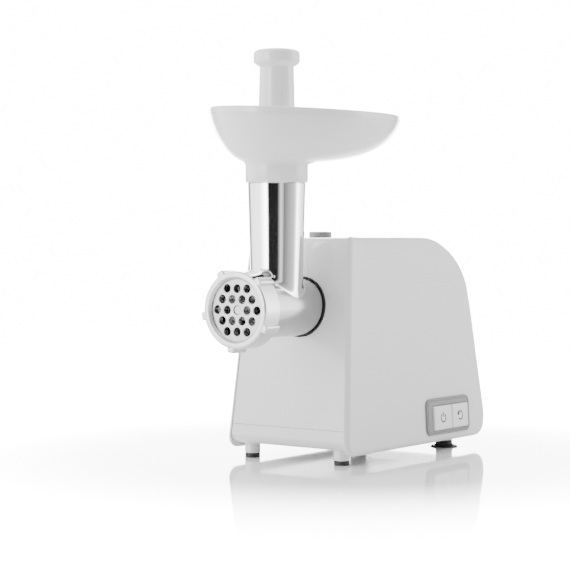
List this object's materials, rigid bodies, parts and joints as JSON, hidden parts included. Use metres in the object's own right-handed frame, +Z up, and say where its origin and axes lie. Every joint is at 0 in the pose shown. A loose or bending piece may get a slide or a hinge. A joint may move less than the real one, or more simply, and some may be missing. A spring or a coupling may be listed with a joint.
{
  "type": "electric meat grinder",
  "caption": "White kitchen grinder: motor housing with side controls and suction feet, polished metal feed tube and barrel with a screw-on ring, plate, knife and auger, oval tray and pusher",
  "frame": {"origin": "centre of the bounding box's bottom, on the surface that the feet stand on", "axes": "+Z up, -Y the way the grinding head points, +X the side with the buttons"},
  "size_m": [0.14, 0.2957, 0.3327],
  "materials": {
    "white_gloss": "glossy white moulded ABS",
    "white_satin": "satin white moulded plastic",
    "grey_plastic": "mid-grey moulded plastic with a fine satin surface",
    "black_plastic": "black moulded plastic",
    "black_rubber": "soft black rubber",
    "ivory_plastic": "unpainted engineering plastic, hidden inside",
    "nylon": "natural nylon",
    "polished_aluminium": "polished cast aluminium",
    "satin_aluminium": "cast aluminium, satin face and polished sides",
    "steel": "plain machined or ground steel",
    "copper": null,
    "circuit_board": "green glass-fibre board"
  },
  "bodies": {
    "base": {"housing_shell": "white_gloss", "base_cover": "white_gloss", "left_side_cover": "white_gloss", "right_side_cover": "white_gloss", "port_liner": "black_plastic", "release_spring": "steel", "latch_guide": "ivory_plastic", "control_bezel": "grey_plastic", "power_switch": "ivory_plastic", "reverse_switch": "ivory_plastic", "circuit_board": "circuit_board", "cord_gland": "black_plastic", "front_foot_pad_left": "black_rubber", "front_foot_pad_right": "black_rubber", "suction_foot_left": "black_rubber", "suction_foot_right": "black_rubber", "base_screw_1": "steel", "base_screw_2": "steel", "base_screw_3": "steel", "base_screw_4": "steel", "gearbox_screw_1": "steel", "gearbox_screw_2": "steel", "stator_core": "steel", "field_coil_upper": "copper", "field_coil_lower": "copper", "front_bearing": "steel", "rear_bearing": "steel", "motor_front_bracket": "steel", "motor_rear_bracket": "steel", "carbon_brush_left": "black_plastic", "carbon_brush_right": "black_plastic", "brush_holder_left": "nylon", "brush_holder_right": "nylon", "gearbox_housing": "ivory_plastic", "gearbox_cover": "ivory_plastic", "output_bushing": "steel"},
    "armature": {"rotor_shaft": "steel", "rotor_core": "steel", "commutator": "copper", "cooling_fan": "black_plastic", "motor_pinion": "steel"},
    "intermediate": {"intermediate_gear": "nylon", "intermediate_pinion": "steel"},
    "output": {"output_gear": "nylon", "drive_socket": "steel"},
    "head": {"head_casting": "polished_aluminium", "rear_auger_bush": "nylon"},
    "auger": {"auger": "polished_aluminium", "knife": "steel"},
    "plate": {"cutting_plate": "steel"},
    "ring": {"fixing_ring": "satin_aluminium"},
    "tray": {"tray": "white_satin"},
    "pusher": {"pusher": "white_satin"},
    "on_off_button": {"on_off_button": "white_satin"},
    "reverse_button": {"reverse_button": "white_satin"},
    "release_button": {"release_button": "grey_plastic", "latch_pin": "steel"}
  },
  "joints": [
    {"name": "motor_spin", "type": "hinge", "parent": "base", "child": "armature", "pos_m": [-0.0063, 0.05, 0.05648], "axis": [0, 1, 0], "continuous": true},
    {"name": "intermediate_spin", "type": "hinge", "parent": "base", "child": "intermediate", "pos_m": [-0.00315, -0.005, 0.08933], "axis": [0, 1, 0], "continuous": true},
    {"name": "output_spin", "type": "hinge", "parent": "base", "child": "output", "pos_m": [0, -0.015, 0.1267], "axis": [0, 1, 0], "continuous": true},
    {"name": "auger_spin", "type": "hinge", "parent": "base", "child": "auger", "pos_m": [0, -0.1, 0.1267], "axis": [0, 1, 0], "continuous": true},
    {"name": "head_turn", "type": "hinge", "parent": "base", "child": "head", "pos_m": [0, -0.06124, 0.1267], "axis": [0, 1, 0], "range_deg": [0, 45]},
    {"name": "ring_turn", "type": "hinge", "parent": "plate", "child": "ring", "pos_m": [0, -0.14, 0.1267], "axis": [0, -1, 0], "range_deg": [0, 1080]},
    {"name": "plate_slide", "type": "slide", "parent": "head", "child": "plate", "axis": [0, -1, 0], "range_m": [0, 0.00751]},
    {"name": "tray_lift", "type": "slide", "parent": "head", "child": "tray", "axis": [0, 0, 1], "range_m": [0, 0.03]},
    {"name": "pusher_slide", "type": "slide", "parent": "tray", "child": "pusher", "axis": [0, 0, 1], "range_m": [0, 0.12]},
    {"name": "on_off_press", "type": "slide", "parent": "base", "child": "on_off_button", "axis": [-0.9983, 0, -0.0579], "range_m": [0, 0.0024], "stiffness_N_per_m": 400},
    {"name": "reverse_press", "type": "slide", "parent": "base", "child": "reverse_button", "axis": [-0.9983, 0, -0.0579], "range_m": [0, 0.0024], "stiffness_N_per_m": 400},
    {"name": "release_press", "type": "slide", "parent": "base", "child": "release_button", "axis": [0, 0, -1], "range_m": [0, 0.003], "stiffness_N_per_m": 600}
  ],
  "couplings": [
    {"joint": "intermediate_spin", "follows": "motor_spin", "ratio": -0.22222},
    {"joint": "output_spin", "follows": "motor_spin", "ratio": 0.055556},
    {"joint": "auger_spin", "follows": "motor_spin", "ratio": 0.055556},
    {"joint": "plate_slide", "follows": "ring_turn", "m_per_rad": 0.00039789}
  ]
}
